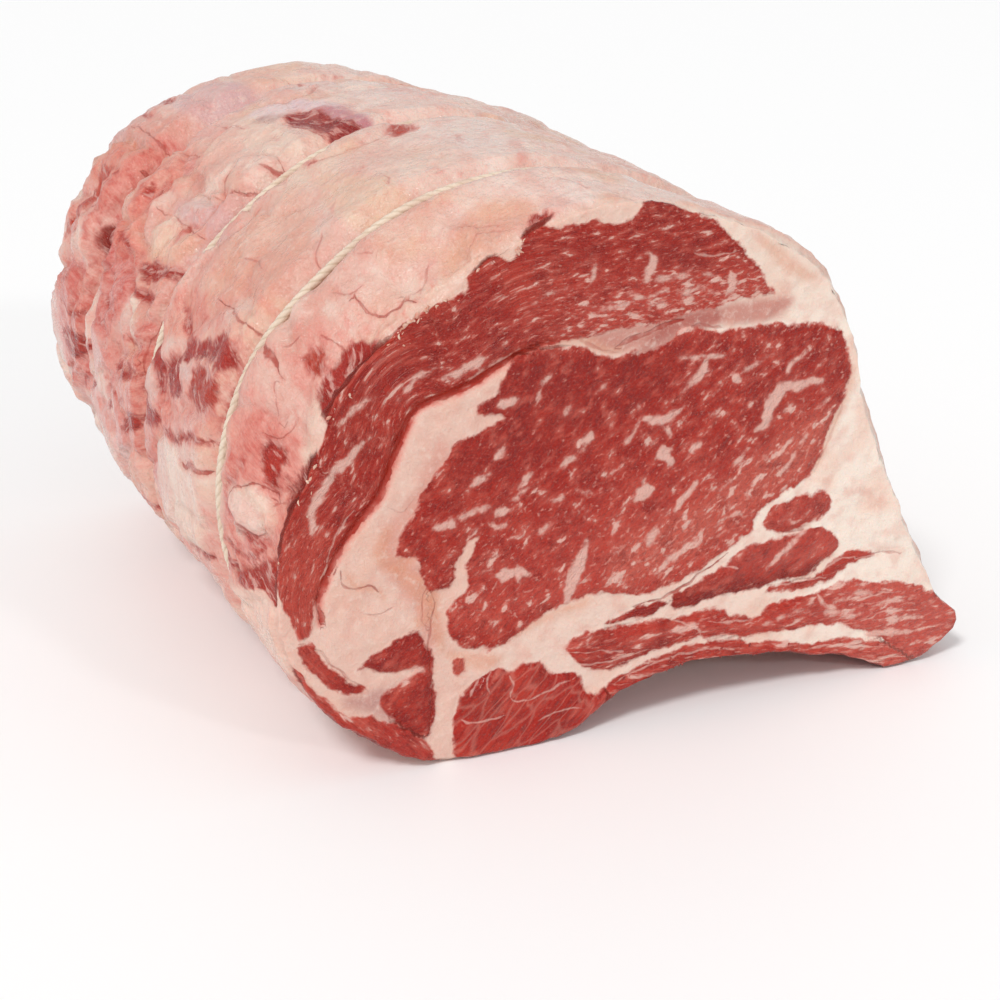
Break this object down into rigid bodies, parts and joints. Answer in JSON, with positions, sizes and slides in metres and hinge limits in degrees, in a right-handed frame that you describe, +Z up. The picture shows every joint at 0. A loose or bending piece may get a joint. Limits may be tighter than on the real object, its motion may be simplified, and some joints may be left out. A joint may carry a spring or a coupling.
{
  "type": "raw beef rib roast",
  "caption": "Raw boneless beef rib roast with marbled cut faces and a fat cap, tied round with loops of cotton twine.",
  "frame": {"origin": "on the table under the centre of the roast's bounding box", "axes": "+Z up; -Y out of the front cut face, so Y runs along the roast; +X across it, toward the thin tail over the ribs"},
  "size_m": [0.208, 0.212, 0.1474],
  "materials": {
    "meat": "moist raw beef, red muscle with pinkish cream fat",
    "twine": "undyed cotton butcher's twine"
  },
  "bodies": {
    "root": {"roast": "meat", "tie_front": "twine", "tie_middle": "twine", "tie_back": "twine"}
  },
  "joints": []
}
